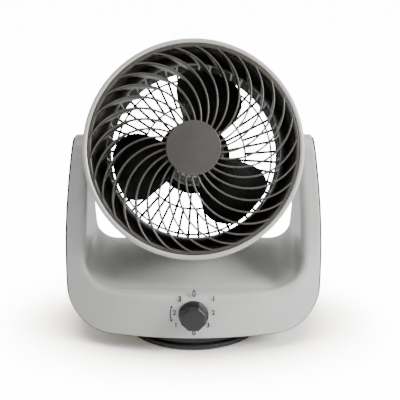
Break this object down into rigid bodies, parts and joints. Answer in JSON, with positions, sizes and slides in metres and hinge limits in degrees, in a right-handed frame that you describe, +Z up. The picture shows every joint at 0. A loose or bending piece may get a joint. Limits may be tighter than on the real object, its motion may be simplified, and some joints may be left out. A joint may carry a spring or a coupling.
{
  "type": "box fan",
  "caption": "Round circulator fan head behind a swirl-ribbed grille, tilting in a U-shaped stand that swings on a round foot, with a rotary control knob in front.",
  "frame": {"origin": "on the floor, under the swivel axis at the middle of the round foot", "axes": "+Z up, +Y to the back, -Y the way the fan blows, +X to the viewer's right when facing the front"},
  "size_m": [0.2758, 0.194, 0.3259],
  "materials": {
    "pearl_plastic": "fine moulded, satin, with a faint metallic flake",
    "charcoal_plastic": "satin moulded",
    "black_plastic": "satin moulded",
    "cap_plastic": "satin moulded",
    "rubber": "moulded",
    "acetal": "moulded, slightly waxy",
    "steel": "zinc plated",
    "laminated_steel": "stacked sheet, varnished",
    "copper": "enamelled wire",
    "bronze": "sintered"
  },
  "bodies": {
    "foot": {"foot_plate": "charcoal_plastic", "foot_pad_1": "rubber", "foot_pad_2": "rubber", "foot_pad_3": "rubber", "foot_pad_4": "rubber", "foot_pad_5": "rubber", "slide_ring": "acetal", "swivel_washer": "steel", "swivel_screw": "steel"},
    "stand": {"stand_front_shell": "pearl_plastic", "stand_rear_shell": "charcoal_plastic", "base_cover": "charcoal_plastic", "cord_gland": "rubber", "cover_screw_1": "steel", "cover_screw_2": "steel", "cover_screw_3": "steel", "cover_screw_4": "steel", "drive_motor": "steel", "drive_motor_screw_left": "steel", "drive_motor_screw_right": "steel", "rotary_switch": "black_plastic", "tilt_bush_left": "acetal", "tilt_bush_right": "acetal"},
    "crank": {"crank_arm": "acetal", "drive_shaft": "steel"},
    "knob": {"control_knob": "black_plastic", "switch_shaft": "steel"},
    "head": {"head_housing": "pearl_plastic", "front_bezel": "pearl_plastic", "air_duct": "charcoal_plastic", "front_grille": "charcoal_plastic", "centre_cap": "cap_plastic", "tilt_pin_left": "steel", "tilt_pin_right": "steel", "friction_washer_left": "steel", "friction_washer_right": "steel", "motor_front_cap": "steel", "motor_rear_cap": "steel", "bearing_front": "bronze", "bearing_rear": "bronze", "motor_stator": "laminated_steel", "winding_front": "copper", "winding_rear": "copper", "rear_guard": "charcoal_plastic", "rear_cover": "charcoal_plastic"},
    "rotor": {"impeller": "black_plastic", "impeller_nut": "black_plastic", "motor_rotor": "laminated_steel", "motor_shaft": "steel"}
  },
  "joints": [
    {"name": "oscillate", "type": "hinge", "parent": "foot", "child": "stand", "pos_m": [0, 0, 0.016], "axis": [0, 0, 1], "range_deg": [-40, 40]},
    {"name": "crank_turn", "type": "hinge", "parent": "stand", "child": "crank", "pos_m": [0, 0.034, 0.01], "axis": [0, 0, 1], "range_deg": [-110, 110]},
    {"name": "tilt", "type": "hinge", "parent": "stand", "child": "head", "pos_m": [0, 0, 0.20102], "axis": [-1, 0, 0], "range_deg": [-30, 70]},
    {"name": "fan_spin", "type": "hinge", "parent": "head", "child": "rotor", "pos_m": [0, 0, 0.20102], "axis": [0, -0.9397, 0.342], "continuous": true},
    {"name": "knob_turn", "type": "hinge", "parent": "stand", "child": "knob", "pos_m": [0, -0.09, 0.046], "axis": [0, -1, 0], "continuous": true}
  ],
  "couplings": [
    {"joint": "crank_turn", "follows": "oscillate", "ratio": -2.75}
  ]
}
